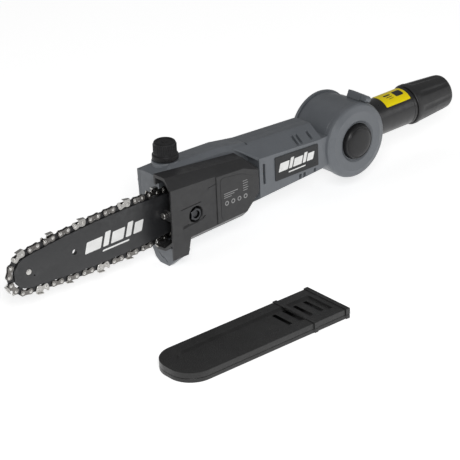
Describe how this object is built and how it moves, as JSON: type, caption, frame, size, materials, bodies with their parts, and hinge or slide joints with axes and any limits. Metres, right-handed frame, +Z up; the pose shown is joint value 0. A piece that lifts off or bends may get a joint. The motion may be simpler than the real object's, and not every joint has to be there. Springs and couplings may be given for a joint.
{
  "type": "pole saw cutting head",
  "caption": "Pole saw head: painted guide bar with saw chain, grey gear and motor housing, black sprocket cover, tilting knuckle, short tube with coupling sleeve, and a loose bar scabbard.",
  "frame": {"origin": "bottom centre of the bounding box of the saw head and its scabbard, on the floor", "axes": "+X from the bar nose towards the pole coupling, -Y the sprocket cover side, +Z up"},
  "size_m": [0.6166, 0.2626, 0.1265],
  "materials": {
    "housing_grey": "fine grained grey moulding",
    "housing_black": "textured black moulding",
    "bar_paint": "satin dark paint on steel plate",
    "bright_steel": "ground or zinc plated steel",
    "dark_steel": "blackened and hardened steel",
    "copper": "copper windings and segments",
    "rubber": "soft black rubber",
    "nylon": "natural glass filled nylon",
    "tube_black": "black coated aluminium tube",
    "label_black": "printed film",
    "label_yellow": "printed film"
  },
  "bodies": {
    "motor_head": {"gear_case": "housing_grey", "gear_case_lid": "housing_grey", "lid_screw_1": "dark_steel", "lid_screw_2": "dark_steel", "lid_screw_3": "dark_steel", "lid_screw_4": "dark_steel", "bar_side_plate": "bright_steel", "bar_stud": "bright_steel", "motor_shell_near": "housing_grey", "motor_shell_far": "housing_grey", "side_label": "label_black", "near_shaft_bearing": "bright_steel", "far_shaft_bearing": "bright_steel", "front_motor_bearing": "bright_steel", "front_motor_bracket": "nylon", "rear_motor_bearing": "bright_steel", "rear_motor_bracket": "nylon", "stator": "dark_steel", "brush_holder_near": "nylon", "brush_holder_far": "nylon", "oil_pump": "nylon", "oil_hose": "rubber", "pivot_bolt": "dark_steel", "saw_chain": "bright_steel"},
    "pole_side": {"knuckle_core": "housing_grey", "detent_ring": "dark_steel", "tube": "tube_black", "tube_label": "label_yellow", "coupling_spigot": "housing_black", "sleeve_clip": "bright_steel", "power_connector": "nylon", "power_lead": "rubber"},
    "coupling_collar": {"coupling_sleeve": "housing_black"},
    "tilt_button": {"pivot_button": "housing_black", "button_spring": "bright_steel"},
    "tilt_latch": {"latch_slider": "housing_black", "latch_tip": "housing_grey", "latch_spring": "bright_steel"},
    "drive": {"output_shaft": "bright_steel", "drive_sprocket": "dark_steel", "sprocket_washer": "bright_steel", "shaft_clip": "dark_steel", "drive_gear": "dark_steel"},
    "rotor": {"motor_shaft": "bright_steel", "motor_pinion": "dark_steel", "armature": "copper", "commutator": "copper", "cooling_fan": "housing_black"},
    "bar": {"guide_bar": "bar_paint", "nose_rivet": "bright_steel"},
    "nose_wheel": {"nose_sprocket": "dark_steel"},
    "cover": {"sprocket_cover": "housing_black"},
    "cover_fastener": {"cover_nut": "bright_steel"},
    "tensioner": {"tension_screw": "bright_steel"},
    "tension_slide": {"tension_block": "bright_steel"},
    "filler_seal": {"cap_seal": "rubber"},
    "filler_cap": {"oil_cap": "housing_black"},
    "bar_scabbard": {"scabbard": "housing_black"}
  },
  "joints": [
    {"name": "head_tilt", "type": "hinge", "parent": "motor_head", "child": "pole_side", "pos_m": [0.1457, 0.10115, 0.0635], "axis": [0, 1, 0], "range_deg": [-30, 60]},
    {"name": "collar_turn", "type": "hinge", "parent": "pole_side", "child": "coupling_collar", "pos_m": [0.2807, 0.10115, 0.0635], "axis": [1, 0, 0], "continuous": true},
    {"name": "button_press", "type": "slide", "parent": "motor_head", "child": "tilt_button", "axis": [0, 1, 0], "range_m": [0, 0.003], "stiffness_N_per_m": 1500, "springref_m": -0.002, "deforming": ["button_spring"]},
    {"name": "latch_slide", "type": "slide", "parent": "pole_side", "child": "tilt_latch", "axis": [0, 1, 0], "range_m": [0, 0.0035], "stiffness_N_per_m": 600, "springref_m": -0.002, "deforming": ["latch_spring"]},
    {"name": "drive_spin", "type": "hinge", "parent": "motor_head", "child": "drive", "pos_m": [-0.03314, 0.10115, 0.05942], "axis": [0, 1, 0], "continuous": true},
    {"name": "rotor_spin", "type": "hinge", "parent": "motor_head", "child": "rotor", "pos_m": [0.0457, 0.10315, 0.0595], "axis": [1, 0, 0], "continuous": true},
    {"name": "bar_feed", "type": "slide", "parent": "motor_head", "child": "bar", "axis": [-0.9999, 0, -0.0169], "range_m": [0, 0.0008]},
    {"name": "nose_spin", "type": "hinge", "parent": "bar", "child": "nose_wheel", "pos_m": [-0.28227, 0.08785, 0.0552], "axis": [0, 1, 0], "continuous": true},
    {"name": "cover_off", "type": "slide", "parent": "motor_head", "child": "cover", "axis": [0, -1, 0], "range_m": [0, 0.05]},
    {"name": "nut_turn", "type": "hinge", "parent": "cover", "child": "cover_fastener", "pos_m": [-0.0873, 0.06765, 0.0585], "axis": [0, 1, 0], "continuous": true},
    {"name": "tension_turn", "type": "hinge", "parent": "cover", "child": "tensioner", "pos_m": [-0.1043, 0.08115, 0.0595], "axis": [1, 0, 0], "range_deg": [0, 288]},
    {"name": "tension_feed", "type": "slide", "parent": "cover", "child": "tension_slide", "axis": [-1, 0, 0], "range_m": [0, 0.0008]},
    {"name": "cap_lift", "type": "slide", "parent": "motor_head", "child": "filler_seal", "axis": [0, 0, 1], "range_m": [0, 0.035]},
    {"name": "cap_turn", "type": "hinge", "parent": "filler_seal", "child": "filler_cap", "pos_m": [-0.0873, 0.10715, 0.1135], "axis": [0, 0, 1], "range_deg": [0, 540]},
    {"name": "scabbard_away", "type": "slide", "parent": "motor_head", "child": "bar_scabbard", "axis": [0, -1, 0], "range_m": [0, 0.06]}
  ],
  "couplings": [
    {"joint": "rotor_spin", "follows": "drive_spin", "ratio": -2.6667},
    {"joint": "nose_spin", "follows": "drive_spin", "ratio": 0.6667},
    {"joint": "tension_feed", "follows": "bar_feed", "ratio": 1},
    {"joint": "tension_turn", "follows": "bar_feed", "rad_per_m": 6283.2}
  ]
}
